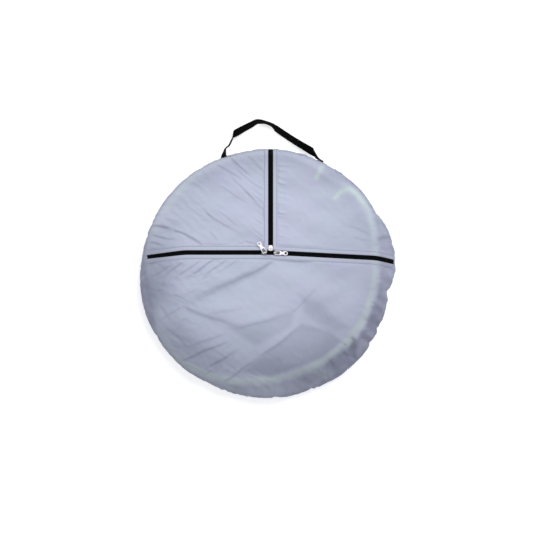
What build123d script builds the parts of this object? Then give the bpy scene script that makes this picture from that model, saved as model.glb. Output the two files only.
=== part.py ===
from build123d import *
import math
import os

# A collapsible reflector disc packed in its round, zipped carry bag.
# The bag lies on its back panel. +Z points out of the zipped face, +Y points to the carry handle,
# and the origin is the centre of the back panel's outer face. Lengths are millimetres, angles degrees.

# Driving dimensions of the bag
BAG_RADIUS = 238.0
BAG_HEIGHT = 40.0
EDGE_RADIUS = 6.0
CLOTH = 0.6

# Zips: a cross zip, and a zip from their junction to the rim. Each run is straight where its slider
# travels; the two halves of the cross zip then turn down a little before they reach the rim.
JUNCTION_X = 5.0
JUNCTION_Y = 39.0
LEFT_RUN = 180.0
RIGHT_RUN = -3.0
TOP_RUN = 90.0
STRAIGHT = {LEFT_RUN: 165.0, RIGHT_RUN: 201.0, TOP_RUN: 100.0}
TAIL_LENGTH = {LEFT_RUN: 63.0, RIGHT_RUN: 21.0, TOP_RUN: 90.0}
TAIL_TURN = {LEFT_RUN: 7.0, RIGHT_RUN: -9.0, TOP_RUN: 0.0}
PANEL_GAP = 8.6
TAPE_WIDTH = 12.0
TAPE_THICKNESS = 0.6
TEETH_GAP = 1.2
TEETH_WIDTH = 2.4
TEETH_HEIGHT = 1.9
STOP_LENGTH = 3.0
STOP_WIDTH = 6.4
STOP_HEIGHT = 2.1

# Zip sliders and pull tabs
SLIDER_LENGTH = 10.4
SLIDER_WIDTH = 9.6
SLIDER_TAIL_WIDTH = 7.2
WING_THICKNESS = 1.1
UPPER_WING = 2.2
LOWER_WING = -1.0
FLANGE_BOTTOM = 1.3
FLANGE_INSIDE = 3.4
POST_THICKNESS = 0.8
POST_LENGTH = 4.0
LEFT_SLIDER_STEP = 12.4
RIGHT_SLIDER_STEP = 10.7
TOP_SLIDER_STEP = 8.6
TOP_TEETH_START = 5.2
CROWN_OFFSET = 2.0
CROWN_LENGTH = 5.6
CROWN_WIDTH = 1.3
CROWN_HEIGHT = 2.5
CROWN_GAP_LENGTH = 3.8
CROWN_GAP_HEIGHT = 1.6
PIVOT_HEIGHT = 0.9
PULL_THICKNESS = 1.1
PULL_LENGTH = 20.0
PULL_END_RADIUS = 3.9
PULL_WAIST = 2.7
PULL_HOLE_RADIUS = 2.2
EYE_HALF_WIDTH = 3.0
EYE_ARM = 1.0
EYE_LENGTH = 8.6
ROOT_BAR_RADIUS = 0.45
LEFT_PULL_ANGLE = 124.0

# Folded reflector: one steel band coiled in three turns inside a sewn sleeve, off centre in the bag
HOOP_CENTRE = (-16.0, 5.0)
HOOP_RADIUS = 217.0
TURN_HEIGHTS = (8.0, 18.0, 28.0)
CROSSING_ANGLE = 50.0
CROSSING_HALF = 15.0
DIVE_HALF_OUTER = 25.0
DIVE_HALF_INNER = 13.0
DIVE_STEP = 8.0
BAND_HALF = (0.6, 4.0)
SLEEVE_CAVITY_HALF = (1.0, 4.3)
SLEEVE_HALF = (2.0, 4.8)
FERRULE_HALF = (0.9, 4.2)
FERRULE_BORE_HALF = (0.65, 4.05)
FERRULE_ANGLE = 230.0
FERRULE_ARC = 8.0
CLOTH_PAD_RADIUS = 192.0
CLOTH_PAD_BOTTOM = 5.0
CLOTH_PAD_HEIGHT = 26.0
CLOTH_PAD_EDGE = 7.0
CLOTH_LAYER = 0.8

# Carry handle: 15 mm webbing sewn into the front seam at two places, lying outwards on the floor
WEBBING_WIDTH = 15.0
WEBBING_THICKNESS = 1.5
SEAM_HEIGHT = 28.0
HINGE_RADIUS = 243.0
ROOT_RADIUS = 240.4
LEFT_ROOT_ANGLE = 110.9
RIGHT_ROOT_ANGLE = 64.9
HANDLE_DROOP = 20.5
NECK_WIDTH = 5.0
NECK_LENGTH = 12.0
NECK_TAPER = 12.0
HANDLE_ROUTE = ((-66.0, 265.0), (-14.0, 290.0), (45.0, 266.0), (98.0, 243.0))
HANDLE_BENDS = (26.0, 60.0, 60.0, 11.0)
PATCH_ARC = 7.0
PATCH_THICKNESS = 0.7
PATCH_HEIGHTS = (14.0, 32.0)

# Levels worked out from the above
CLOTH_BOTTOM = BAG_HEIGHT - CLOTH
TAPE_TOP = CLOTH_BOTTOM
PANEL_RADIUS = BAG_RADIUS - EDGE_RADIUS
SLIDER_TOP = TAPE_TOP + UPPER_WING + WING_THICKNESS
PIVOT_Z = SLIDER_TOP + PIVOT_HEIGHT


def in_run(run, shape):
    """Places a shape drawn along +X from the origin onto a zip run that starts at the junction."""
    return Pos(JUNCTION_X, JUNCTION_Y, 0) * Rot(0, 0, run) * shape


def zip_strip(run, right, left, start, tail, heights):
    """A strip that follows a zip run, between two offsets (left of the run is positive)."""
    straight, turn = STRAIGHT[run], math.radians(TAIL_TURN[run])

    def bend(offset):
        return straight - offset * math.tan(turn / 2), offset

    def end(offset):
        x = straight + tail * math.cos(turn) - offset * math.sin(turn)
        return x, tail * math.sin(turn) + offset * math.cos(turn)

    points = [(start, right), bend(right), end(right), end(left), bend(left), (start, left)]
    if not turn:
        points = [(start, right), end(right), end(left), (start, left)]
    low, high = heights
    outline = make_face(Polyline(*points, close=True))
    return in_run(run, Pos(0, 0, low) * extrude(outline, high - low))


def side(low, high, sign):
    """The offsets of a strip on a run's left (+1) or right (-1) side, lower first."""
    return (low, high) if sign > 0 else (-high, -low)


# Bag

def back_panel():
    return Pos(0, 0, CLOTH / 2) * Cylinder(PANEL_RADIUS, CLOTH)


def front_panels():
    """The zipped face, cut into the lower, upper left and upper right panels."""
    disc = Pos(0, 0, BAG_HEIGHT - CLOTH / 2) * Cylinder(PANEL_RADIUS, CLOTH)
    half = PANEL_GAP / 2
    for run in STRAIGHT:
        cut = (BAG_HEIGHT - 2 * CLOTH, BAG_HEIGHT + CLOTH)
        disc -= zip_strip(run, -half, half, -half, BAG_RADIUS, cut)
    pieces = sorted(disc.solids(), key=lambda s: s.center().Y)
    lower, uppers = pieces[0], sorted(pieces[1:], key=lambda s: s.center().X)
    return lower, uppers[0], uppers[1]


def side_gusset():
    """The strip between the two faces, turned over at both edges."""
    arc_low = EDGE_RADIUS
    arc_high = BAG_HEIGHT - EDGE_RADIUS
    inner_radius = EDGE_RADIUS - CLOTH
    wall = BAG_RADIUS - CLOTH
    with BuildPart() as gusset:
        with BuildSketch(Plane.XZ):
            with BuildLine():
                RadiusArc((PANEL_RADIUS, 0), (BAG_RADIUS, arc_low), -EDGE_RADIUS)
                Line((BAG_RADIUS, arc_low), (BAG_RADIUS, arc_high))
                RadiusArc((BAG_RADIUS, arc_high), (PANEL_RADIUS, BAG_HEIGHT), -EDGE_RADIUS)
                Line((PANEL_RADIUS, BAG_HEIGHT), (PANEL_RADIUS, CLOTH_BOTTOM))
                RadiusArc((PANEL_RADIUS, CLOTH_BOTTOM), (wall, arc_high), inner_radius)
                Line((wall, arc_high), (wall, arc_low))
                RadiusArc((wall, arc_low), (PANEL_RADIUS, CLOTH), inner_radius)
                Line((PANEL_RADIUS, CLOTH), (PANEL_RADIUS, 0))
            make_face()
        revolve(axis=Axis.Z)
    return gusset.part


# Zips

def tape(run, sign, start):
    right, left = side(TEETH_GAP / 2, TAPE_WIDTH, sign)
    heights = (TAPE_TOP - TAPE_THICKNESS, TAPE_TOP)
    return zip_strip(run, right, left, start, TAIL_LENGTH[run], heights)


def teeth_strip(run, sign, start):
    right, left = side(TEETH_GAP / 2, TEETH_GAP / 2 + TEETH_WIDTH, sign)
    heights = (TAPE_TOP, TAPE_TOP + TEETH_HEIGHT)
    return zip_strip(run, right, left, start, TAIL_LENGTH[run] - STOP_LENGTH - 1.0, heights)


def rounded_teeth(row):
    """A row of coil teeth, with its long top edges rounded."""
    top_edges = row.faces().sort_by(Axis.Z)[-1].edges()
    return fillet(top_edges.filter_by(lambda edge: edge.length > 10 * TEETH_WIDTH), 0.6)


def end_stop(run):
    block = Pos(-STOP_LENGTH / 2, 0, STOP_HEIGHT / 2) * Box(STOP_LENGTH, STOP_WIDTH, STOP_HEIGHT)
    block = fillet(block.faces().sort_by(Axis.Z)[-1].edges(), 0.6)
    tail = Rot(0, 0, TAIL_TURN[run]) * Pos(TAIL_LENGTH[run], 0, TAPE_TOP)
    return in_run(run, Pos(STRAIGHT[run], 0, 0) * tail * block)


# Sliders

def slider_outline():
    """Shield shape seen from above: the nose, at +X, is the wide end."""
    nose, tail = SLIDER_LENGTH / 2, -SLIDER_LENGTH / 2
    half, tail_half = SLIDER_WIDTH / 2, SLIDER_TAIL_WIDTH / 2
    points = [
        (tail, -tail_half),
        (nose - 3.5, -half),
        (nose, -half + 0.9),
        (nose, half - 0.9),
        (nose - 3.5, half),
        (tail, tail_half),
    ]
    outline = make_face(Polyline(*points, close=True))
    return fillet(outline.vertices(), 1.2)


def slider_body():
    """Two wings joined by the post that runs between the rows of teeth, in the slider's own frame."""
    wing = extrude(slider_outline(), WING_THICKNESS)
    upper = Pos(0, 0, UPPER_WING) * wing
    upper = fillet(upper.faces().sort_by(Axis.Z)[-1].edges(), 0.45)
    lower = Pos(0, 0, LOWER_WING - WING_THICKNESS) * wing
    flanges = Pos(0, 0, FLANGE_BOTTOM) * extrude(slider_outline(), UPPER_WING - FLANGE_BOTTOM)
    flanges -= Box(2 * SLIDER_LENGTH, 2 * FLANGE_INSIDE, 4 * UPPER_WING)
    post_middle = SLIDER_LENGTH / 2 - 1.0 - POST_LENGTH / 2
    post_height = UPPER_WING - LOWER_WING
    post = Pos(post_middle, 0, LOWER_WING + post_height / 2) * Box(POST_LENGTH, POST_THICKNESS, post_height)
    return upper + flanges + post + lower


def slider_crown():
    """The low arch that holds the pull tab, standing on the upper wing."""
    arch = Pos(0, 0, CROWN_HEIGHT / 2) * Box(CROWN_LENGTH, CROWN_WIDTH, CROWN_HEIGHT)
    ends = arch.edges().filter_by(Axis.Y).group_by(Axis.Z)[-1]
    arch = fillet(ends, 1.1)
    opening = Box(CROWN_GAP_LENGTH, 2 * CROWN_WIDTH, CROWN_GAP_HEIGHT)
    arch -= Pos(0, 0, CROWN_GAP_HEIGHT / 2) * opening
    return Pos(CROWN_OFFSET, 0, UPPER_WING + WING_THICKNESS) * arch


def pull_tab():
    """A flat tab along +X with its pivot bar on the Y axis, an eye at the root and a hole at the tip."""
    side_half = EYE_HALF_WIDTH + EYE_ARM
    tip = PULL_LENGTH
    with BuildPart() as tab:
        with BuildSketch(Plane.XY.offset(-PULL_THICKNESS / 2)):
            with BuildLine() as outline:
                Polyline((-ROOT_BAR_RADIUS, 0), (-ROOT_BAR_RADIUS, side_half), (EYE_LENGTH, side_half))
                Spline(
                    (EYE_LENGTH, side_half),
                    (EYE_LENGTH + 4.4, PULL_WAIST),
                    (tip, PULL_END_RADIUS),
                    tangents=[(1, 0), (1, 0)],
                )
                CenterArc((tip, 0), PULL_END_RADIUS, 0, 90)
                mirror(outline.line, Plane.XZ)
            make_face()
            with Locations((tip, 0)):
                Circle(PULL_HOLE_RADIUS, mode=Mode.SUBTRACT)
            with Locations((EYE_LENGTH / 2, 0)):
                RectangleRounded(EYE_LENGTH, 2 * EYE_HALF_WIDTH, 1.2, mode=Mode.SUBTRACT)
            with Locations((0, 0)):
                Rectangle(2 * ROOT_BAR_RADIUS + 0.2, 2 * EYE_HALF_WIDTH, mode=Mode.SUBTRACT)
        extrude(amount=PULL_THICKNESS)
    bar = Rot(90, 0, 0) * Cylinder(ROOT_BAR_RADIUS, 2 * EYE_HALF_WIDTH + 1.0)
    return tab.part + bar


def slider_place(run, step):
    """Where a slider's frame sits: its nose faces the junction."""
    return in_run(run, Pos(step, 0, TAPE_TOP) * Rot(0, 0, 180))


def pivot_point(run, step):
    """The middle of the pull tab's pivot bar."""
    distance = step - CROWN_OFFSET
    x = JUNCTION_X + distance * math.cos(math.radians(run))
    y = JUNCTION_Y + distance * math.sin(math.radians(run))
    return Pos(x, y, PIVOT_Z)


# Folded reflector

def polar(radius, angle):
    """A point of the coil's plan, at an angle about the hoop's centre."""
    a = math.radians(angle)
    return HOOP_CENTRE[0] + radius * math.cos(a), HOOP_CENTRE[1] + radius * math.sin(a)


def ring_arc(half, height, start, size):
    """A stretch of one flat turn of the coil, of half sizes (radial, axial)."""
    radial, axial = half
    section = Plane.XZ * Pos(HOOP_RADIUS, 0) * Rectangle(2 * radial, 2 * axial)
    return Pos(*HOOP_CENTRE, height) * Rot(0, 0, start) * revolve(section, Axis.Z, size)


def slanted_strip(half, start, end):
    """A straight stretch of band between two points, its ends run on by the band's own thickness."""
    radial, axial = half
    x0, y0, z0 = start
    x1, y1, z1 = end
    length = math.hypot(x1 - x0, y1 - y0)
    heading = math.degrees(math.atan2(y1 - y0, x1 - x0))
    lap = radial
    slope = (z1 - z0) / length
    rise = lap * slope
    corners = [
        (-lap, -rise - axial),
        (length + lap, z1 - z0 + rise - axial),
        (length + lap, z1 - z0 + rise + axial),
        (-lap, -rise + axial),
    ]
    face = make_face(Polyline(*corners, close=True))
    band = extrude(Plane.XZ * face, radial, both=True)
    return Pos(x0, y0, z0) * Rot(0, 0, heading) * band


def coil(half):
    """The three turns as one closed band: two steps up side by side, and one dive back down inside them."""
    low, middle, high = TURN_HEIGHTS
    enter, leave = CROSSING_ANGLE - CROSSING_HALF, CROSSING_ANGLE + CROSSING_HALF
    dive_start, dive_end = CROSSING_ANGLE - DIVE_HALF_OUTER, CROSSING_ANGLE + DIVE_HALF_OUTER
    inner = HOOP_RADIUS - DIVE_STEP
    dive_in = polar(inner, CROSSING_ANGLE - DIVE_HALF_INNER)
    dive_out = polar(inner, CROSSING_ANGLE + DIVE_HALF_INNER)
    shape = ring_arc(half, low, dive_end, 360 + enter - dive_end)
    shape += ring_arc(half, middle, leave, 360 + enter - leave)
    shape += ring_arc(half, high, leave, 360 + dive_start - leave)
    for below, above in ((low, middle), (middle, high)):
        start = (*polar(HOOP_RADIUS, enter), below)
        end = (*polar(HOOP_RADIUS, leave), above)
        shape += slanted_strip(half, start, end)
    shape += slanted_strip(half, (*polar(HOOP_RADIUS, dive_start), high), (*dive_in, high))
    shape += slanted_strip(half, (*dive_in, high), (*dive_out, low))
    shape += slanted_strip(half, (*dive_out, low), (*polar(HOOP_RADIUS, dive_end), low))
    return shape


def hoop_ferrule():
    start = FERRULE_ANGLE - FERRULE_ARC / 2
    middle = TURN_HEIGHTS[1]
    sleeve = ring_arc(FERRULE_HALF, middle, start, FERRULE_ARC)
    return sleeve - ring_arc(FERRULE_BORE_HALF, middle, start - 1.0, FERRULE_ARC + 2.0)


def reflector_cloth():
    """The folded cloth as one pad, with a thin layer out to the sleeve at each turn."""
    pad = Pos(0, 0, CLOTH_PAD_BOTTOM + CLOTH_PAD_HEIGHT / 2) * Cylinder(CLOTH_PAD_RADIUS, CLOTH_PAD_HEIGHT)
    pad = fillet(pad.edges(), CLOTH_PAD_EDGE)
    reach = HOOP_RADIUS - SLEEVE_HALF[0] - 0.1
    opening = 2 * DIVE_HALF_OUTER + 6.0
    inner = CLOTH_PAD_RADIUS - 2 * CLOTH_PAD_EDGE
    for height in TURN_HEIGHTS:
        section = Plane.XZ * Pos((inner + reach) / 2, height) * Rectangle(reach - inner, CLOTH_LAYER)
        pad += Rot(0, 0, CROSSING_ANGLE + opening / 2) * revolve(section, Axis.Z, 360 - opening)
    return Pos(*HOOP_CENTRE, 0) * pad


# Carry handle

def rim_point(radius, angle):
    a = math.radians(angle)
    return radius * math.cos(a), radius * math.sin(a)


def handle_frame():
    """The hinge line through the two roots: its left end and its heading."""
    left = rim_point(HINGE_RADIUS, LEFT_ROOT_ANGLE)
    right = rim_point(HINGE_RADIUS, RIGHT_ROOT_ANGLE)
    heading = math.degrees(math.atan2(right[1] - left[1], right[0] - left[0]))
    return left, right, heading


def handle_webbing():
    """A flat strip along the handle's route, narrowed at both roots, drooping about the hinge line."""
    left, right, heading = handle_frame()
    stretch = 1 / math.cos(math.radians(HANDLE_DROOP))

    def flat(point):
        """Plan coordinates turned into the hinge line's frame, before the droop."""
        a = math.radians(-heading)
        x, y = point[0] - left[0], point[1] - left[1]
        along = x * math.cos(a) - y * math.sin(a)
        out = x * math.sin(a) + y * math.cos(a)
        return Vector(along, out * stretch)

    route = [flat(p) for p in (left, *HANDLE_ROUTE, right)]
    line = FilletPolyline(*route, radius=list(HANDLE_BENDS))
    webbing = sweep(
        Plane(origin=line @ 0, x_dir=(0, 0, 1), z_dir=line % 0)
        * Rectangle(WEBBING_THICKNESS, WEBBING_WIDTH),
        path=line,
    )
    neck_end = NECK_LENGTH + NECK_TAPER
    for root, toward in ((route[0], route[1]), (route[-1], route[-2])):
        way = (toward - root).normalized()
        plane = Plane(origin=root, x_dir=way, z_dir=(0, 0, 1))
        webbing -= plane * Pos(NECK_LENGTH / 2 - 5, 0, 0) * Box(neck_end + 10, 3 * WEBBING_WIDTH, 10)
        outline = [
            (0, -NECK_WIDTH / 2),
            (NECK_LENGTH, -NECK_WIDTH / 2),
            (neck_end, -WEBBING_WIDTH / 2),
            (neck_end, WEBBING_WIDTH / 2),
            (NECK_LENGTH, NECK_WIDTH / 2),
            (0, NECK_WIDTH / 2),
        ]
        neck = extrude(make_face(Polyline(*outline, close=True)), WEBBING_THICKNESS / 2, both=True)
        webbing += plane * neck
    return Pos(*left, SEAM_HEIGHT) * Rot(0, 0, heading) * Rot(-HANDLE_DROOP, 0, 0) * webbing


def handle_root(angle):
    """The sewn end of the webbing where it stands out of the front seam."""
    inner = BAG_RADIUS - 1.0
    size = (ROOT_RADIUS - inner, WEBBING_WIDTH, WEBBING_THICKNESS)
    stub = Pos((ROOT_RADIUS + inner) / 2, 0, SEAM_HEIGHT) * Box(*size)
    stub = Rot(0, 0, angle) * stub
    return stub - Cylinder(BAG_RADIUS, 4 * BAG_HEIGHT)


def handle_patch(angle):
    """The reinforcing patch sewn inside the gusset behind a root."""
    low, high = PATCH_HEIGHTS
    middle = BAG_RADIUS - CLOTH - PATCH_THICKNESS / 2
    section = Plane.XZ * Pos(middle, (low + high) / 2) * Rectangle(PATCH_THICKNESS, high - low)
    return Rot(0, 0, angle - PATCH_ARC / 2) * revolve(section, Axis.Z, PATCH_ARC)


def all_parts():
    lower, upper_left, upper_right = front_panels()
    parts = {
        "back_panel": back_panel(),
        "side_gusset": side_gusset(),
        "front_lower_panel": lower,
        "front_upper_left_panel": upper_left,
        "front_upper_right_panel": upper_right,
        "cross_zip_lower_tape": tape(LEFT_RUN, 1, 0) + tape(RIGHT_RUN, -1, 0),
        "cross_zip_upper_left_tape": tape(LEFT_RUN, -1, TEETH_GAP / 2),
        "cross_zip_upper_right_tape": tape(RIGHT_RUN, 1, TEETH_GAP),
        "top_zip_left_tape": tape(TOP_RUN, 1, TAPE_WIDTH + 0.2),
        "top_zip_right_tape": tape(TOP_RUN, -1, TAPE_WIDTH + 0.2),
        "cross_zip_lower_teeth": rounded_teeth(
            teeth_strip(LEFT_RUN, 1, 0) + teeth_strip(RIGHT_RUN, -1, 0)
        ),
        "cross_zip_upper_left_teeth": rounded_teeth(teeth_strip(LEFT_RUN, -1, TEETH_GAP / 2)),
        "cross_zip_upper_right_teeth": rounded_teeth(teeth_strip(RIGHT_RUN, 1, TEETH_GAP)),
        "top_zip_left_teeth": rounded_teeth(teeth_strip(TOP_RUN, 1, TOP_TEETH_START)),
        "top_zip_right_teeth": rounded_teeth(teeth_strip(TOP_RUN, -1, TOP_TEETH_START)),
        "left_end_stop": end_stop(LEFT_RUN),
        "right_end_stop": end_stop(RIGHT_RUN),
        "top_end_stop": end_stop(TOP_RUN),
        "spring_hoop": coil(BAND_HALF),
        "hoop_ferrule": hoop_ferrule(),
        "hoop_sleeve": coil(SLEEVE_HALF) - coil(SLEEVE_CAVITY_HALF),
        "reflector_cloth": reflector_cloth(),
        "handle_webbing": handle_webbing(),
        "left_handle_root": handle_root(LEFT_ROOT_ANGLE),
        "right_handle_root": handle_root(RIGHT_ROOT_ANGLE),
        "left_handle_patch": handle_patch(LEFT_ROOT_ANGLE),
        "right_handle_patch": handle_patch(RIGHT_ROOT_ANGLE),
    }
    upright = Rot(0, 0, TOP_RUN) * Rot(0, -90, 0)
    sliders = {
        "left": (LEFT_RUN, LEFT_SLIDER_STEP, Rot(0, 0, LEFT_PULL_ANGLE)),
        "right": (RIGHT_RUN, RIGHT_SLIDER_STEP, Rot(0, 0, RIGHT_RUN)),
        "top": (TOP_RUN, TOP_SLIDER_STEP, upright),
    }
    for name, (run, step, turn) in sliders.items():
        place = slider_place(run, step)
        parts[f"{name}_slider_body"] = place * slider_body()
        parts[f"{name}_slider_crown"] = place * slider_crown()
        parts[f"{name}_pull_tab"] = pivot_point(run, step) * turn * pull_tab()
    return parts


os.makedirs("parts", exist_ok=True)
for part_name, part_shape in all_parts().items():
    export_step(part_shape, f"parts/{part_name}.step")
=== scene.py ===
"""Collapsible reflector disc packed in its round, zipped nylon carry bag."""

import math

import bpy
import numpy as np
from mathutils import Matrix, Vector


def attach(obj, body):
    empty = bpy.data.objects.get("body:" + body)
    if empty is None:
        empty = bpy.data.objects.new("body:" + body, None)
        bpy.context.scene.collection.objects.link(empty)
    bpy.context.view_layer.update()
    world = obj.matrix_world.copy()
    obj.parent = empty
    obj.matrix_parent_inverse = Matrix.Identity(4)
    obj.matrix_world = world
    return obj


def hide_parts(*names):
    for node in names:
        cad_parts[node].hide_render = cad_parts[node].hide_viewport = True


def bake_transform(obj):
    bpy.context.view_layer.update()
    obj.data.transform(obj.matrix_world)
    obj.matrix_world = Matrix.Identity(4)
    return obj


# Lengths are millimetres and angles degrees, in the CAD's frame, until a mesh is made.
MM = 0.001

# Bag: the radius of its rim, by angle
RIM = (
    (2, 244), (7, 245), (12, 244), (20, 243), (30, 238), (45, 237), (60, 235), (75, 236),
    (90, 237.5), (105, 236), (120, 238), (135, 240), (150, 241), (170, 242), (185, 245), (200, 246),
    (215, 244), (230, 243), (242, 239), (255, 238), (270, 239), (285, 237), (300, 237),
    (312, 238), (325, 239), (340, 235), (350, 234),
)
# Notches in the rim: angle, depth and width in degrees
NOTCHES = ((32, 2.6, 5.0), (351, 3.5, 2.0), (334, 3.0, 2.2), (326, 3.0, 2.0), (240, 2.5, 2.0))
# How wide and how deep the cloth falls away at the rim, and how slack it is there, by angle
FALL_WIDTH = (
    (6, 34), (20, 34), (35, 26), (60, 22), (90, 13), (120, 24), (150, 24), (180, 22),
    (190, 30), (205, 32), (225, 24), (245, 26), (265, 36), (285, 44), (300, 46), (320, 44),
    (340, 42),
)
FALL_DEPTH = ((0, 19), (60, 15), (180, 15), (240, 17), (300, 22), (330, 22))
SLACK = (
    (0, 0.5), (25, 0.4), (60, 0.1), (180, 0.1), (235, 0.2), (275, 0.6), (320, 0.6), (345, 0.45),
)
# Heights of the face, of the turn from side wall to back, and of the cloth that lies flat
FACE_Z = 40.0
BACK_TURN_Z = 6.0
FLOOR_Z = 0.35
BACK_TURN_WIDTH = 9.0

# Folded hoop: the radius at which it presses up into the cloth, by angle.
HOOP = (
    (3, 203), (15, 207), (27, 218), (36, 225), (44, 222), (55, 213), (64, 216), (78, 228),
    (90, 230), (120, 231), (145, 229), (165, 230), (175, 224), (185, 218), (197, 216),
    (206, 227), (214, 238), (222, 237), (228, 233), (235, 228), (243, 222), (251, 216),
    (263, 206), (275, 201), (288, 198), (300, 196), (314, 198), (326, 201), (338, 200), (350, 202),
)

# The same hoop's stacked turns, as in the CAD.
HOOP_CENTRE = (-16.0, 5.0)
HOOP_RADIUS = 217.0
HOOP_HEIGHTS = (8.0, 28.0)
HOOP_CLEARANCE = 4.6

# Handle roots, as in the CAD: their angles round the rim.
LEFT_ROOT = 110.9
RIGHT_ROOT = 64.9

# Zips, as in the CAD: junction, then heading, straight length, tail length and tail turn.
JUNCTION = (5.0, 39.0)
RUNS = {
    "left": (180.0, 165.0, 63.0, 7.0),
    "right": (-3.0, 201.0, 21.0, -9.0),
    "top": (90.0, 100.0, 90.0, 0.0),
}
# How far each run's tapes and its hems go
RUN_END = {"left": 234.5, "right": 237.5, "top": 198.5}
HEM_END = {"left": 238.5, "right": 237.5, "top": 198.5}
# How far from a zip's middle line the puckers start
PUCKER_START = 12.5


def smooth(low, high, x):
    t = np.clip((x - low) / (high - low), 0.0, 1.0)
    return t * t * (3.0 - 2.0 * t)


def bell(t):
    return np.exp(-t * t)


def unit(vectors):
    return vectors / np.linalg.norm(vectors, axis=1, keepdims=True)


def turned(x, y, heading):
    """Distances along a heading and to its left."""
    a = math.radians(heading)
    return x * math.cos(a) + y * math.sin(a), y * math.cos(a) - x * math.sin(a)


def around(stations, angle, soften=15):
    """A value given at a few angles, as a smooth function of the angle."""
    grid = np.arange(-360, 721)
    angles = [a + turn for turn in (-360, 0, 360) for a, _ in sorted(stations)]
    values = [v for _, v in sorted(stations)] * 3
    kernel = np.hanning(soften + 2)
    table = np.convolve(np.interp(grid, angles, values), kernel / kernel.sum(), "same")
    return np.interp(np.mod(angle, 360.0), grid, table)


def polar(x, y):
    return np.hypot(x, y), np.mod(np.degrees(np.arctan2(y, x)), 360.0)


def plan(radius, angle):
    """Plan x and y from radius and angle."""
    return radius * np.cos(np.radians(angle)), radius * np.sin(np.radians(angle))


def rim_radius(angle):
    radius = around(RIM, angle)
    for middle, depth, width in NOTCHES:
        off = np.mod(angle - middle + 180.0, 360.0) - 180.0
        radius = radius - depth * bell(off / width)
    return radius


# The zipped face as a height over the plan


def zip_frame(run, x, y):
    """Distance along a zip run and offset to its left, the tail's bend included."""
    heading, straight, _, turn = RUNS[run]
    along, off = turned(x - JUNCTION[0], y - JUNCTION[1], heading)
    bend = np.maximum(along - straight, 0.0) * math.tan(math.radians(turn))
    return along, off - bend


def zip_distance(x, y, ends=None):
    """How far a point is from the nearest zip's middle line, which may stop at its end."""
    nearest = np.full(np.shape(x), 1e3)
    for run in RUNS:
        along, off = zip_frame(run, x, y)
        past = np.minimum(along, 0.0)
        if ends:
            past = past + np.maximum(along - ends[run] + 6.0, 0.0)
        nearest = np.minimum(nearest, np.hypot(past, off))
    return nearest


def crease_frame(x, y, a, b, width, bow):
    """Where points lie along a fold from a to b (0 to 1), to its left, and its spread there."""
    dx, dy = b[0] - a[0], b[1] - a[1]
    length = math.hypot(dx, dy)
    t = ((x - a[0]) * dx + (y - a[1]) * dy) / length**2
    n = ((y - a[1]) * dx - (x - a[0]) * dy) / length - bow * 4 * t * (1 - t)
    n = n + 0.6 * np.sin(x / 9.7 + y / 19.0) + 0.4 * np.sin(y / 7.9 - x / 21.0)
    return t, n, width * (0.75 + 0.6 * np.clip(t, 0, 1))


def crease(x, y, a, b, width, height, bow=0.0, head=0.12, tail=0.6):
    """A fold from a to b: the side to its left stands proud and the other side dips."""
    t, n, spread = crease_frame(x, y, a, b, width, bow)
    reach = smooth(0.0, head, t) * (1.0 - smooth(1.0 - tail, 1.0, t))
    return height * reach * np.tanh(n / spread) * bell(n / (4.5 * spread))


def crease_shade(x, y):
    """Painted shade along the creases: dark lines where the cloth doubles over."""
    total = np.zeros_like(x)
    for a, b, width, height, bow in CREASES:
        t, n, spread = crease_frame(x, y, a, b, width, bow)
        reach = smooth(0.0, 0.15, t) * (1.0 - smooth(0.6, 1.0, t))
        dark = min(abs(height) / FULL_DARK_HEIGHT, MOST_DARK)
        total = np.maximum(total, dark * reach * bell(n / (0.85 * spread)))
    return total


# How dark the painted crease shade grows: full at this crease height, and never more than this
FULL_DARK_HEIGHT = 3.4
MOST_DARK = 0.38
CREASE_BOOST = 1.05
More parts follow.
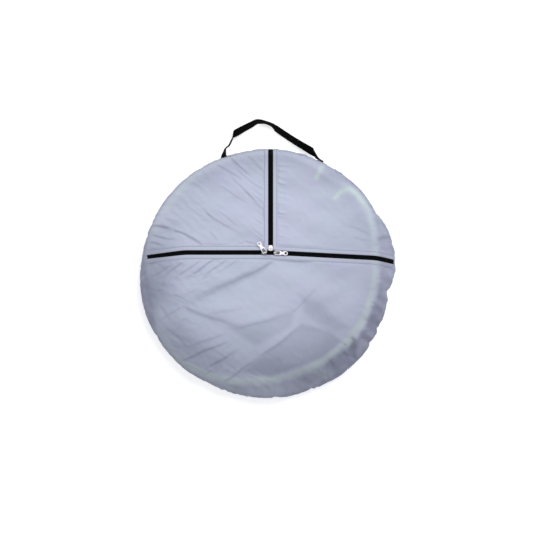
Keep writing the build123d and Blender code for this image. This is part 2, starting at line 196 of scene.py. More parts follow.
# start, end, width, height, bow
CREASES = (
    ((-74, 222), (-22, 178), 1.4, 0.9, -2),
    ((-100, 207), (-44, 174), 1.4, 0.8, 2),
    ((-92, 168), (-30, 130), 1.4, 0.5, -2),
    ((-70, 184), (-12, 126), 1.2, 0.7, -1),
    ((-42, 156), (-10, 122), 1.2, 0.7, -1),
    ((-122, 118), (-46, 72), 1.4, 0.7, -2),
    ((-96, 120), (-50, 84), 1.2, 0.5, -1),
    ((-62, 198), (-16, 160), 1.2, 0.5, 0),
    ((-40, 224), (-14, 204), 1.2, 0.6, 0),
    ((-112, 80), (-92, 60), 1.4, 0.5, 0),
    ((-222, 92), (-178, 81), 1.8, 2.2, 2),
    ((-184, 82), (-118, 50), 1.7, 1.7, 4),
    ((-222, 74), (-166, 62), 1.5, 1.3, -2),
    ((-226, 58), (-190, 51), 1.5, 1.5, 1),
    ((-66, 52), (-40, 60), 1.2, 0.5, 0),
    ((-44, 60), (-16, 54), 1.2, 0.5, 0),
    ((14, 24), (-80, -22), 4.8, -1.7, 3),
    ((-24, 2), (-176, -70), 7.5, -2.6, -2),
    ((6, 12), (-148, -58), 2.2, 0.9, 3),
    ((-76, 28), (-132, -14), 2.0, -1.2, 0),
    ((-52, 28), (-104, -4), 1.8, -0.8, 0),
    ((-100, 28), (-164, -16), 2.0, -1.3, 1),
    ((-124, 27), (-190, -18), 2.0, -1.1, 1),
    ((-160, 22), (-212, -16), 2.0, -1.1, 0),
    ((-186, 16), (-224, -12), 1.8, -0.9, 0),
    ((-162, -62), (-208, -92), 1.6, -0.9, 0),
    ((-168, -62), (-30, -110), 4.2, 1.2, -2),
    ((-66, -106), (44, -76), 3.2, 0.8, -2),
    ((-120, -80), (-30, -66), 3.0, 0.5, 2),
    ((-168, -170), (-56, -124), 2.3, 2.2, 2),
    ((-132, -192), (-40, -136), 2.3, 1.9, 1),
    ((-92, -212), (-8, -152), 2.6, 2.4, -2),
    ((-22, -162), (72, -90), 2.6, 1.1, -4),
    ((-128, -196), (-90, -178), 1.6, 0.8, 0),
    ((44, -76), (100, -16), 2.4, 0.6, -3),
    ((-150, -140), (-70, -112), 2.2, 1.0, 1),
    ((-206, -58), (-178, -98), 1.8, 0.7, 0),
    ((-196, -100), (-150, -140), 2.0, 0.6, 0),
    ((160, -118), (170, -168), 3.2, 3.2, 1),
    ((150, -132), (143, -170), 2.4, 2.2, 0),
    ((120, -162), (134, -190), 2.2, 1.8, 0),
    ((112, -172), (98, -204), 2.4, -1.4, 1),
    ((196, -60), (206, -96), 2.4, 1.2, 2),
    ((150, 92), (205, 66), 2.0, 0.5, 2),
    ((160, 70), (206, 58), 1.8, 0.5, -1),
    ((120, 176), (150, 118), 2.6, -0.5, 3),
)
# Slack folds between the hoop and the rim: angle, inner and outer radius, lean, width, height
SLACK_FOLDS = (
    (296, 204, 234, 6, 2.6, 2.2), (304, 202, 236, -4, 2.4, 1.6), (312, 204, 236, 5, 2.6, 2.6),
    (319, 206, 236, -3, 2.0, 1.8), (327, 205, 235, 6, 2.6, 2.4), (336, 206, 234, 4, 2.4, 1.8),
    (345, 206, 233, -4, 2.2, 1.6), (354, 208, 238, 3, 2.6, 1.8), (16, 214, 240, 2, 2.4, 1.4),
    (288, 206, 234, 5, 2.2, 1.4), (279, 210, 235, -4, 2.0, 1.2), (262, 212, 235, 4, 2.0, 1.2),
    (248, 218, 236, -3, 2.0, 1.4), (236, 222, 240, 3, 2.0, 1.2), (28, 218, 238, -3, 2.2, 1.0),
)
# Puckers beside the zips: run, side, start, count, step, length, height, lean
PUCKERS = (
    ("top", 1, 20, 18, 9.0, 46, 1.4, 0.65),
    ("top", -1, 18, 13, 12.5, 44, 2.6, -0.17),
    ("right", -1, 50, 9, 9.0, 22, 0.4, 0.1),
    ("left", 1, 14, 17, 10.0, 44, 1.2, 1.2),
    ("left", -1, 10, 14, 13.0, 18, 0.8, 0.9),
)


def pucker_row(x, y, run, side, start, count, step, length, height, lean):
    """Short creases that leave a zip's stitched edge, leaning along it as they go."""
    along, off = zip_frame(run, x, y)
    off = off * side - PUCKER_START
    rng = np.random.default_rng(int(start * 7 + count))
    total = np.zeros_like(x)
    for k in range(count):
        middle = start + (k + rng.uniform(-0.35, 0.35)) * step
        slope = lean + rng.uniform(-0.15, 0.15)
        reach = length * rng.uniform(0.45, 1.0)
        ridge = bell((along - middle - slope * off) / (0.13 * step + 1.0))
        fade = smooth(0, 2, off) * (1 - smooth(0, reach, off))
        total += height * rng.uniform(0.3, 1.0) * ridge * fade
    return total


def ripples(x, y, heading, wavelength, height, seed):
    """A few waves of nearly one heading and length, added up."""
    count = 7
    rng = np.random.default_rng(seed)
    total = np.zeros_like(x)
    for _ in range(count):
        along = turned(x, y, heading + rng.normal(0, 12))[0]
        k = 2 * math.pi / (wavelength * rng.uniform(0.7, 1.5))
        total += np.sin(k * along + rng.uniform(0, 6.28))
    return height * total / math.sqrt(count)


def soft_noise(u, v, seed):
    """Smooth noise between -1 and 1 on a unit lattice."""
    size = 97
    lattice = np.random.default_rng(seed).uniform(-1, 1, (size, size))
    i, j = np.floor(u).astype(int), np.floor(v).astype(int)
    f, g = smooth(0, 1, u - i), smooth(0, 1, v - j)
    low, high = (
        lattice[i % size, k % size] * (1 - f) + lattice[(i + 1) % size, k % size] * f
        for k in (j, j + 1)
    )
    return low * (1 - g) + high * g


def hatch(x, y, heading, across, along, height, seed):
    """Many fine creases of uneven length that lie nearly along a heading."""
    u, v = turned(x, y, heading)
    v = v + 0.1 * along * soft_noise(u / (1.5 * along), v / along, seed + 1)
    n = soft_noise(u / along, v / across, seed)
    strength = smooth(-0.1, 0.7, soft_noise(u / (1.3 * along), v / (2.5 * across), seed + 2))
    return height * strength * np.tanh(n / 0.14) * bell(n / 0.55)


def blob(x, y, middle, size):
    return bell((x - middle[0]) / size[0]) * bell((y - middle[1]) / size[1])


def blobs(x, y, table):
    """The sum of soft blobs, each given as its middle, size and strength."""
    return sum(strength * blob(x, y, middle, size) for middle, size, strength in table)


def slack_folds(x, y):
    total = np.zeros_like(x)
    for middle, inner, outer, lean, width, height in SLACK_FOLDS:
        start, end = plan(inner, middle), plan(outer, middle + lean)
        total += crease(x, y, start, end, width, height, head=0.35, tail=0.15)
    return total


def hatching(x, y, radius):
    """Fine creases: heading, across, along, height and seed of each kind, and where it is."""
    above, left = smooth(40, 60, y), smooth(-10, 10, 5 - x)
    below, right = 1 - above, smooth(-10, 10, x - 5)
    kinds = (
        (-38, 7.0, 46, 0.75, 51, above * left),
        (-20, 8.0, 40, 0.6, 54, above * left * smooth(90, 170, -x)),
        (36, 9.0, 50, 1.7, 57, below * smooth(30, 130, -x) * smooth(70, 150, radius)),
        (32, 10.0, 60, 2.2, 61, blob(x, y, (-100, -165), (70, 36))),
        (60, 9.0, 36, 0.9, 60, below * smooth(100, 190, radius)),
        (-30, 7.0, 30, 1.0, 69, below * smooth(120, 190, radius) * left),
        (-12, 8.0, 34, 0.4, 63, above * right * (1 - smooth(20, 110, x - 5))),
        (-50, 10.0, 40, 0.4, 66, smooth(150, 215, radius)),
    )
    return sum(hatch(x, y, *kind) * where for *kind, where in kinds)


def folds(x, y):
    """Every crease, pucker and ripple of the face."""
    radius, angle = polar(x, y)
    edge = rim_radius(angle) - radius
    left = smooth(40, 170, -x)
    total = CREASE_BOOST * sum(crease(x, y, *fold) for fold in CREASES)
    total += slack_folds(x, y)
    total += sum(pucker_row(x, y, *row) for row in PUCKERS)
    total += hatching(x, y, radius)
    total += ripples(x, y, 55, 17, 0.28, 3) * (0.35 + 0.65 * left)
    total += ripples(x, y, 120, 44, 0.9, 5)
    total += ripples(x, y, 60, 75, 1.1, 6)
    total += ripples(x, y, 100, 9, 0.10, 8) * (0.4 + 0.6 * left)
    total += smooth(70, 10, edge) * ripples(angle * 4.2, edge * 0.35, 0, 19, 0.2, 11)
    return total * smooth(11.5, 17, zip_distance(x, y)) * smooth(-2, 8, edge)


# Where the face bulges: middle, size and height
CROWNS = (
    ((-30, -80), (110, 80), 1.4), ((-90, 120), (60, 50), 1.2), ((90, 120), (70, 60), 1.0),
)


def face_height(x, y, folded=True):
    """The height of the zipped face's outer surface, in millimetres."""
    radius, angle = polar(x, y)
    rim = rim_radius(angle)
    fall = around(FALL_WIDTH, angle)
    s = np.clip((radius - (rim - fall)) / fall, 0.0, 1.0)
    slack = around(SLACK, angle)
    drop = (1 - slack) * (1 - np.sqrt(np.maximum(1 - s * s, 0))) + slack * s**1.7
    off_hoop = radius - around(HOOP, angle)
    calm = smooth(9, 40, zip_distance(x, y))
    bump = 1.2 * bell(off_hoop / 7.5) - 1.3 * bell((off_hoop + 24) / 15)
    height = FACE_Z + calm * (bump + blobs(x, y, CROWNS)) - around(FALL_DEPTH, angle) * drop
    if folded:
        height = height + folds(x, y)
    return height


# Meshes


def add_object(name, data):
    obj = bpy.data.objects.new(name, data)
    bpy.context.scene.collection.objects.link(obj)
    return obj


def mesh_object(name, vertices, faces, uv=None):
    mesh = bpy.data.meshes.new(name)
    mesh.from_pydata((np.asarray(vertices) * MM).tolist(), [], faces)
    mesh.polygons.foreach_set("use_smooth", [True] * len(mesh.polygons))
    if uv is not None:
        layer = mesh.uv_layers.new(name="UVMap")
        index = np.zeros(len(mesh.loops), np.int32)
        mesh.loops.foreach_get("vertex_index", index)
        layer.data.foreach_set("uv", np.asarray(uv, np.float32)[index].ravel())
    mesh.update()
    return add_object(name, mesh)


def point_attribute(obj, name, values):
    layer = obj.data.attributes.new(name, "FLOAT", "POINT")
    layer.data.foreach_set("value", np.asarray(values, np.float32))


def kept(vertices, faces):
    """The vertices that the faces use, the faces renumbered, and which vertices those were."""
    faces = np.asarray(faces)
    used, flat = np.unique(faces, return_inverse=True)
    return vertices[used], flat.reshape(faces.shape).tolist(), used


def thicken(obj, thickness):
    modifier = obj.modifiers.new("thickness", "SOLIDIFY")
    modifier.thickness = thickness * MM
    modifier.offset = -1.0


# The bag's cloth: one grid of rows (centre of the face to centre of the back) by angle

ANGLES = 720
INNER_ROWS = 150
FALL_ROWS = 26
WALL_ROWS = 16
BACK_EDGE_ROWS = 8
BACK_ROWS = 70

# The row where the face's sheets end, the row of the welt and the first row of the flat back
SEAM_ROW = INNER_ROWS + 18
WELT_ROW = INNER_ROWS + FALL_ROWS + WALL_ROWS + BACK_EDGE_ROWS // 2
BACK_ROW = INNER_ROWS + FALL_ROWS + WALL_ROWS + BACK_EDGE_ROWS


def back_relief(x, y):
    """How far the slack back lifts off what the bag lies on."""
    lift = ripples(x, y, 40, 60, 0.5, 31) + hatch(x, y, 25, 9.0, 60, 0.9, 71)
    lift += hatch(x, y, -50, 10.0, 50, 0.8, 74) + hatch(x, y, 80, 16.0, 90, 0.8, 77)
    return np.clip(0.6 + lift, 0, 2.4)


def wall_radius(angle, t):
    """The bag's radius on its side wall, t going from 0 at the rim to 1 at the back's edge."""
    along = angle * 4.2
    bulge = 2.2 + ripples(along, angle * 0, 0, 14, 0.5, 21) + ripples(along, angle * 0, 0, 31, 0.6, 22)
    return rim_radius(angle) - 4.0 * t * t + bulge * math.sin(math.pi * t)


def grid_rows(folded):
    """Plan x, y and height of every row of the bag, as arrays of rows by angles."""
    angle = np.arange(ANGLES) * 360.0 / ANGLES
    rim, fall = rim_radius(angle), around(FALL_WIDTH, angle)
    radii = [(rim - fall) * k / INNER_ROWS for k in range(1, INNER_ROWS + 1)]
    for k in range(1, FALL_ROWS + 1):
        radii.append(rim - fall + fall * math.sin(math.pi / 2 * k / FALL_ROWS))
    heights = [face_height(*plan(radius, angle), folded) for radius in radii]
    wall_top = heights[-1]
    for k in range(1, WALL_ROWS + 1):
        t = k / WALL_ROWS
        radii.append(wall_radius(angle, t))
        heights.append(wall_top + (BACK_TURN_Z - wall_top) * t)
    last = radii[-1]
    for k in range(1, BACK_EDGE_ROWS + 1):
        a = math.pi / 2 * k / BACK_EDGE_ROWS
        radii.append(last - BACK_TURN_WIDTH * (1 - math.cos(a)))
        heights.append(np.full(ANGLES, BACK_TURN_Z - (BACK_TURN_Z - FLOOR_Z) * math.sin(a)))
    last = radii[-1]
    for k in range(1, BACK_ROWS):
        radii.append(last * (1 - k / BACK_ROWS))
        heights.append(FLOOR_Z + back_relief(*plan(radii[-1], angle)) * smooth(0, 5, k))
    x, y = plan(np.array(radii), angle)
    return np.stack([x, y, np.array(heights)], axis=-1)


def grid_faces(first, last, angles=ANGLES):
    """Quads between two rows of the grid."""
    rows = np.arange(first, last)[:, None] * angles
    here = np.arange(angles)[None, :]
    there = (here + 1) % angles
    below = rows + angles
    return np.stack([rows + here, below + here, below + there, rows + there], axis=-1).reshape(-1, 4)


# The rim's spare cloth, settled by a cloth simulation on every few points of the grid

SIM_FRAMES = 32
SIM_ANGLE_STEP = 2
SIM_FIRST_ROW = 90
SIM_ROWS = [
    *range(SIM_FIRST_ROW, INNER_ROWS, 7),
    *range(INNER_ROWS + 1, BACK_ROW - 1, 2),
    BACK_ROW - 1,
]
MAX_SHIFT = 6.5


def held_and_taut(points):
    """How firmly each point of the grid is held, and how taut the cloth is cut there."""
    x, y, _ = points.reshape(-1, 3).T
    radius, angle = polar(x, y)
    row = np.repeat(np.arange(len(points)), points.shape[1])
    beyond_hoop = smooth(1, 12, radius - around(HOOP, angle))
    held = bell(np.maximum(zip_distance(x, y) - 6, 0) / 14.0)
    held += 0.5 * (1 - beyond_hoop)
    for root in (LEFT_ROOT, RIGHT_ROOT):
        held += bell((angle - root) / 5.0)
    held[(row < 2) | (row == len(points) - 1)] = 1.0
    uneven = np.clip(0.7 + ripples(angle * 4.2, angle * 0, 0, 90, 0.4, 17), 0.2, 1.1)
    spare = np.clip(0.1 + around(SLACK, angle), 0, 1) * uneven
    taut = 1.0 - np.clip(spare, 0, 1) * (0.1 + 0.9 * beyond_hoop)
    return np.clip(held, 0, 1), taut


def vertex_weights(obj, name, weights):
    group = obj.vertex_groups.new(name=name)
    for index, weight in enumerate(weights):
        group.add([index], float(weight), "REPLACE")


def cloth_settings(obj):
    """Thin nylon, cut about a twentieth too large where the bag is slackest."""
    cloth = obj.modifiers.new("cloth", "CLOTH")
    settings = cloth.settings
    settings.quality = 6
    settings.mass = 0.05
    settings.tension_stiffness = 25
    settings.compression_stiffness = 25
    settings.shear_stiffness = 8
    settings.bending_stiffness = 8.0
    settings.tension_damping = 0.5
    settings.compression_damping = 0.5
    settings.shear_damping = 0.5
    settings.air_damping = 0.5
    settings.vertex_group_mass = "held"
    settings.vertex_group_shrink = "taut"
    settings.shrink_max = 0.0
    settings.shrink_min = -0.055
    settings.use_pressure = True
    settings.uniform_pressure_force = 0.8
    settings.effector_weights.gravity = 0.0
    cloth.collision_settings.use_collision = False
    cloth.point_cache.frame_start = 1
    cloth.point_cache.frame_end = SIM_FRAMES


def settle_slack(rows):
    """How far the simulation moves each point of the grid."""
    start = rows[SIM_ROWS][:, ::SIM_ANGLE_STEP]
    angles = start.shape[1]
    jitter = np.random.default_rng(5).normal(0, 0.05, start.shape)
    faces = grid_faces(0, len(start) - 1, angles).tolist()
    obj = mesh_object("slack", (start + jitter).reshape(-1, 3), faces)
    held, taut = held_and_taut(start)
    vertex_weights(obj, "held", held)
    vertex_weights(obj, "taut", taut)
    cloth_settings(obj)
    for step in range(1, SIM_FRAMES + 1):
        bpy.context.scene.frame_set(step)
    settled = obj.evaluated_get(bpy.context.evaluated_depsgraph_get()).to_mesh()
    points = np.zeros(len(settled.vertices) * 3)
    settled.vertices.foreach_get("co", points)
    shift = points.reshape(start.shape) / MM - start
    bpy.data.objects.remove(obj)
    bpy.context.scene.frame_set(1)
    return spread_shift(shift)


def spread_shift(shift):
    """The coarse grid's shift, smoothly spread over the fine grid and capped."""
    across = np.arange(ANGLES) / SIM_ANGLE_STEP
    wrapped = np.concatenate([shift[:, -2:], shift, shift[:, :3]], axis=1)
    fine = smooth_lookup(wrapped.swapaxes(0, 1), across + 2).swapaxes(0, 1)
    fine_rows = np.arange(SIM_FIRST_ROW, SIM_ROWS[-1] + 1)
    down = np.interp(fine_rows, SIM_ROWS, np.arange(len(SIM_ROWS)))
    fine = smooth_lookup(fine, down)
    size = np.linalg.norm(fine, axis=-1, keepdims=True)
    return fine * np.minimum(1.0, MAX_SHIFT / np.maximum(size, 1e-6))


def smooth_lookup(values, places):
    """Values along the first axis at fractional places, by cubic interpolation."""
    last = len(values) - 1
    k = np.clip(places.astype(int), 0, last - 1)
    f = (places - k).reshape(-1, *([1] * (values.ndim - 1)))
    p0, p1, p2, p3 = (values[np.clip(k + n, 0, last)] for n in (-1, 0, 1, 2))
    return 0.5 * (2 * p1 + (p2 - p0) * f + (2 * p0 - 5 * p1 + 4 * p2 - p3) * f**2
                  + (3 * p1 - p0 - 3 * p2 + p3) * f**3)


def face_regions(vertices, quads):
    """The quads of the lower, upper left and upper right panels, clear of the zips."""
    centre = vertices[quads].mean(axis=1)
    x, y = centre[:, 0], centre[:, 1]
    clear = zip_distance(x, y, RUN_END) > 7.0
    _, left = zip_frame("left", x, y)
    _, right = zip_frame("right", x, y)
    below = np.where(x < JUNCTION[0], left > 0, right < 0)
    return {
        "front_lower": quads[clear & below],
        "front_upper_left": quads[clear & ~below & (x < JUNCTION[0])],
        "front_upper_right": quads[clear & ~below & (x >= JUNCTION[0])],
    }


# What shows through the cloth, by angle: how clearly the green hoop is seen and its half width,
# how clearly its lower turns are seen outside it, and how dark the painted shade over the empty space
# beside it is
HOOP_SEEN = (
    (0, 0.45), (20, 0.4), (38, 0.5), (44, 0.0), (85, 0.0), (110, 0.3), (150, 0.35), (175, 0.05),
    (212, 0.1), (222, 0.7), (250, 0.95), (285, 1), (330, 0.9),
)
HOOP_HALF_WIDTH = ((0, 6), (30, 5.2), (60, 5.2), (120, 6.5), (220, 6), (250, 7.5), (320, 7.5))
LOWER_TURNS_SEEN = (
    (0, 0), (235, 0), (250, 0.8), (275, 0.8), (292, 1), (302, 0.7), (309, 0), (355, 0),
)
EMPTY_SHADE = (
    (0, 0.4), (25, 0.32), (45, 0.35), (60, 0.25), (75, 0.15), (90, 0.2), (150, 0.25), (175, 0.42),
    (188, 0.55), (199, 0.55), (208, 0.5), (220, 0.5), (235, 0.5), (270, 0.35), (300, 0.7),
    (325, 0.9), (345, 0.7),
)
# The sleeve's two ends in the upper right, as points along each
SLEEVE_ENDS = (
    ((92, 181), (104, 204)),
    ((128, 143), (141, 157), (155, 160), (166, 152), (181, 134)),
)
# A turn of the hoop that comes out at the bottom, and a facet at the lower right where the painted shade
# is lighter
LOOSE_TURN = ((99, -191), (25, 14))
PALE_FACET = ((177, -142), (10, 16))


def sleeve_ends(x, y):
    """The green ends of the sleeve, where it bends away from the ring."""
    green = np.zeros_like(x)
    for points in SLEEVE_ENDS:
        for a, b in zip(points, points[1:]):
            dx, dy = b[0] - a[0], b[1] - a[1]
            t = np.clip(((x - a[0]) * dx + (y - a[1]) * dy) / (dx * dx + dy * dy), 0, 1)
            d = np.hypot(x - a[0] - t * dx, y - a[1] - t * dy)
            green = np.maximum(green, 0.8 * np.exp(-((d / 4.8) ** 2.4)))
    return green


def green_and_empty_shade(x, y):
    """How much of the green hoop shows through the cloth, and how much painted shade lies over the empty
    space beside it.
    """
    radius, angle = polar(x, y)
    off = radius - around(HOOP, angle)
    wobble = ripples(x, y, 30, 60, 0.9, 41)
    uneven = 0.85 + 0.15 * np.clip(ripples(x, y, 70, 38, 1.0, 43), -1, 1)
    across = np.abs((off + wobble) / around(HOOP_HALF_WIDTH, angle))
    green = around(HOOP_SEEN, angle, 9) * uneven * np.exp(-(across**3))
    lower_turns = 0.38 * bell((off - 21) / 9) * around(LOWER_TURNS_SEEN, angle)
    turn = blob(x, y, *LOOSE_TURN) * smooth(4, 12, off)
    for other in (lower_turns, sleeve_ends(x, y), 0.9 * turn):
        green = np.maximum(green, other)
    # Painted shade over the empty space beside the hoop, lighter under the loose turn and the facet
    dark = around(EMPTY_SHADE, angle) * (1 + 0.3 * np.clip(ripples(x, y, 50, 26, 1.0, 45), -1, 1))
    empty = dark * smooth(5, 15, off + wobble)
    return green, empty * (1 - 0.5 * turn) * (1 - 0.45 * blob(x, y, *PALE_FACET))


def soft_polygon(x, y, corners, soft):
    """1 inside a convex outline given clockwise, 0 outside it, with a soft edge."""
    inside = np.ones_like(x)
    for (ax, ay), (bx, by) in zip(corners, corners[1:] + corners[:1]):
        dx, dy = bx - ax, by - ay
        n = ((x - ax) * dy - (y - ay) * dx) / math.hypot(dx, dy)
        inside = np.minimum(inside, smooth(-soft, soft, n))
    return inside


# Painted shade where the folded reflector lies behind the cloth: outlines (clockwise), softness and
# darkness
FOLDED_LAYER_SHADE = (
    (((64, -44), (98, -56), (152, -103), (126, -112), (70, -76)), 9.0, 0.22),
    (((4, -144), (60, -96), (116, -110), (139, -130), (104, -162), (6, -197), (-50, -186)), 6.0, 0.26),
    (((-76, -104), (50, -72), (44, -102), (-24, -138)), 7.0, 0.22),
)
# Painted soft shade: middle, size and darkness
HOLLOWS = (
    ((-115, -150), (90, 55), 0.30), ((-10, -150), (80, 36), 0.24), ((-190, -90), (60, 70), 0.18),
    ((-215, 20), (44, 60), 0.40), ((-218, -40), (26, 34), 0.30), ((155, 15), (60, 75), 0.20),
    ((0, 222), (120, 22), 0.18), ((90, -70), (60, 40), 0.16), ((90, 185), (60, 26), 0.12),
    ((-120, 190), (50, 30), 0.14), ((134, 182), (34, 20), 0.16), ((110, -150), (70, 50), 0.24),
    ((30, -190), (90, 26), 0.26), ((150, -100), (50, 50), 0.12), ((144, -156), (11, 10), 0.34),
    ((130, -170), (14, 10), 0.38), ((78, -201), (18, 9), 0.34), ((164, -144), (5, 20), 0.34),
    ((136, -166), (14, 10), 0.2), ((-90, -90), (40, 24), 0.08),
)
# How dark the painted shade on the cloth grows towards the rim, by angle
EDGE_SHADE = (
    (0, 0.24), (30, 0.15), (60, 0.08), (170, 0.14), (190, 0.2), (212, 0.35), (235, 0.46),
    (270, 0.5), (300, 0.45), (330, 0.34), (350, 0.36),
)


def painted_shade_map(x, y):
    """Painted shade on the cloth: over the folded layers behind it, in the hollows between them, towards
    the rim and along its edge.
    """
    total = blobs(x, y, HOLLOWS)
    for corners, soft, dark in FOLDED_LAYER_SHADE:
        total += dark * soft_polygon(x, y, corners, soft)
    radius, angle = polar(x, y)
    total += around(EDGE_SHADE, angle, 25) * smooth(150, 225, radius)
    # Painted shade along the rim's very edge
    total += 0.3 * smooth(-7, 0, radius - rim_radius(angle))
    return np.clip(total, 0, 0.9)


def clear_of_hoop(rows):
    """Moves points of the cloth out of the hoop's three stacked turns, which lie as in the CAD."""
    away = rows[..., :2] - HOOP_CENTRE
    distance = np.linalg.norm(away, axis=-1)
    across = distance - HOOP_RADIUS
    up = rows[..., 2] - np.clip(rows[..., 2], *HOOP_HEIGHTS)
    gap = np.maximum(np.hypot(across, up), 1e-6)
    push = np.maximum(HOOP_CLEARANCE - gap, 0.0) / gap
    rows[..., :2] += away / distance[..., None] * (across * push)[..., None]
    rows[..., 2] += up * push


def make_cloth():
    """The bag's five sheets, and the welt along the back's seam."""
    rows = grid_rows(folded=True)
    rows[SIM_FIRST_ROW:SIM_ROWS[-1] + 1] += settle_slack(grid_rows(folded=False))
    clear_of_hoop(rows)
    rows[..., 2] = np.maximum(rows[..., 2], FLOOR_Z)
    vertices = rows.reshape(-1, 3)
    last_row = len(rows) - 1
    quads = face_regions(vertices, grid_faces(0, SEAM_ROW))
    quads["gusset"] = grid_faces(SEAM_ROW, WELT_ROW)
    quads["back"] = grid_faces(WELT_ROW, last_row)
    sheets = {}
    for name in quads:
        points, faces, used = kept(vertices, quads[name])
        if name == "front_lower":
            ring = np.searchsorted(used, np.arange(ANGLES)).tolist()
            points, faces = close_middle(points, faces, ring, vertices[:ANGLES, 2].mean())
        if name == "back":
            ring = np.searchsorted(used, last_row * ANGLES + np.arange(ANGLES)).tolist()
            points, faces = close_middle(points, faces, ring[::-1], FLOOR_Z + 0.1)
        sheets[name] = mesh_object(f"{name}_cloth", points, faces)
        paint(sheets[name])
    welt = loop_tube("back_seam_welt", rows[WELT_ROW], 1.0, 8)
    paint(welt)
    return sheets, welt


def close_middle(points, faces, ring, z):
    """Closes the small hole at the middle of a round sheet, inside a ring of its points."""
    middle = len(points)
    fan = [[middle, a, b] for a, b in zip(ring, ring[1:] + ring[:1])]
    return np.vstack([points, [0.0, 0.0, z]]), faces + fan


def loop_tube(name, line, radius, sides):
    """A tube round a closed loop of points."""
    out = unit(line * [1, 1, 0])
    turns = -np.arange(sides) * 2 * math.pi / sides
    rings = [line + radius * (out * math.cos(t) + np.array([0, 0, math.sin(t)])) for t in turns]
    quads = grid_faces(0, sides, len(line)) % (sides * len(line))
    return mesh_object(name, np.concatenate(rings), quads.tolist())


def paint(obj):
    """Stores what shows through the cloth, and the painted shade on it, for its material."""
    x, y, z = np.array([vertex.co / MM for vertex in obj.data.vertices]).T
    green, empty = green_and_empty_shade(x, y)
    facing_up = smooth(8, 20, z)
    point_attribute(obj, "hoop_green", green * facing_up)
    # The first layer is the green hoop showing through; the other three hold painted shade: over the
    # empty space, broad shade and along the creases
    point_attribute(obj, "empty", empty * facing_up)
    point_attribute(obj, "painted_shade", painted_shade_map(x, y) * facing_up)
    point_attribute(obj, "crease", crease_shade(x, y) * facing_up)


# Zips


def run_point(run, along, off):
    """Plan position of a point of a zip run, its tail's bend rounded."""
    heading, straight, _, turn = RUNS[run]
    t = math.radians(turn)
    soft = 9.0
    past = along - straight
    blend = np.where(past < -soft, 0.0, np.where(past > soft, past, (past + soft) ** 2 / (4 * soft)))
    lean = np.clip((past + soft) / (2 * soft), 0, 1) * t
    x = along - blend * (1 - math.cos(t)) - off * np.sin(lean)
    y = blend * math.sin(t) + off * np.cos(lean)
    x, y = turned(x, y, -heading)
    return JUNCTION[0] + x, JUNCTION[1] + y


def run_line(run, along, off, lift=0.0):
    """Points along a zip run, a little above the face, kept inside the rim."""
    x, y = run_point(run, along, off)
    radius, angle = polar(x, y)
    shrink = np.minimum(1.0, (rim_radius(angle) - 1.2) / np.maximum(radius, 1.0))
    z = face_height(x * shrink, y * shrink, folded=False)
    return np.stack([x * shrink, y * shrink, z + lift], axis=-1)


# Where the left hems begin and stop closing in on the zip, and by how much
HEM_CLOSES = (165.0, 234.0, 0.7)


def strip(name, run, section, start, end, step=2.0):
    """A strip with a closed cross-section of (offset, height above the face) along a run."""
    stations = np.linspace(start, end, max(2, int((end - start) / step)) + 1)
    rings = []
    for off, lift in section:
        inward = np.zeros_like(stations)
        if run == "left" and abs(off) > 4:
            first, last, most = HEM_CLOSES
            inward = math.copysign(most, off) * smooth(first, last, stations)
        rings.append(run_line(run, stations, off - inward, lift))
    return tube_mesh(name, np.stack(rings, axis=1))


def one_side(side, points):
    """A cross-section drawn for a run's left side, turned over for its right."""
    return [(side * off, lift) for off, lift in points[::side]]


def tube_faces(grid, base):
    """The faces of a closed tube through rings of points, all turned outwards."""
    count, sides = grid.shape[:2]
    last = base + (count - 1) * sides
    faces = []
    for here in range(base, last, sides):
        for j in range(sides):
            k = (j + 1) % sides
            faces.append([here + j, here + k, here + sides + k, here + sides + j])
    faces += [list(range(base, base + sides))[::-1], list(range(last, last + sides))]
    middle = grid.mean(axis=1)
    spokes = grid - middle[:, None]
    turning = np.cross(spokes, np.roll(spokes, -1, axis=1)).sum(axis=1)
    if np.sum(turning * np.gradient(middle, axis=0)) < 0:
        faces = [face[::-1] for face in faces]
    return faces


def tube_mesh(name, *grids, uv=None):
    """One closed tube or more in a mesh, each a grid of points, stations by section."""
    points, faces, base = [], [], 0
    for grid in grids:
        points.append(grid.reshape(-1, 3))
        faces += tube_faces(grid, base)
        base += len(points[-1])
    return mesh_object(name, np.vstack(points), faces, uv)


def join(name, objects):
    """One object from several."""
    bpy.ops.object.select_all(action="DESELECT")
    for obj in objects:
        obj.select_set(True)
    bpy.context.view_layer.objects.active = objects[0]
    bpy.ops.object.join()
    objects[0].name = name
    objects[0].data.name = name
    return objects[0]


# How far from the zip's middle line each run's hems begin
HEM_EDGE = {"left": 4.35, "right": 4.4, "top": 4.75}
# Each panel's hems: run, side and where along the run they start
HEMS = {
    "front_lower": (("left", 1, -0.6), ("right", -1, -0.6)),
    "front_upper_left": (("left", -1, 4.3), ("top", 1, 4.3)),
    "front_upper_right": (("right", 1, 4.3), ("top", -1, 4.3)),
}


def hem_section(side, edge):
    points = [
        (edge, -0.25), (edge + 0.05, 0.25), (edge + 0.6, 0.42), (7.0, 0.5), (10.2, 0.45),
        (11.3, 0.12), (11.9, 0.08), (12.6, 0.35), (13.4, -0.2), (8.0, -0.35),
    ]
    return one_side(side, points)


def make_hems():
    """The folded edges of the three panels beside the zips, and their rows of topstitching."""
    hems, stitches = {}, {}
    for panel, edges in HEMS.items():
        strips, rows = [], []
        for run, side, start in edges:
            section = hem_section(side, HEM_EDGE[run])
            strips.append(strip("hem", run, section, start, HEM_END[run]))
            first = 13.0 if start > 0 else 2.0
            rows.append(stitch_row(run, side * STITCH_LINE, first, RUN_END[run] - 2))
        hems[panel] = join(f"{panel}_hem", strips)
        stitches[panel] = join(f"{panel}_stitching", rows)
        paint(hems[panel])
    return hems, stitches


# Topstitching: its distance from the zip's middle line, and the length and pitch of its stitches
STITCH_LINE = 11.6
STITCH_LENGTH = 2.3
STITCH_PITCH = 3.1


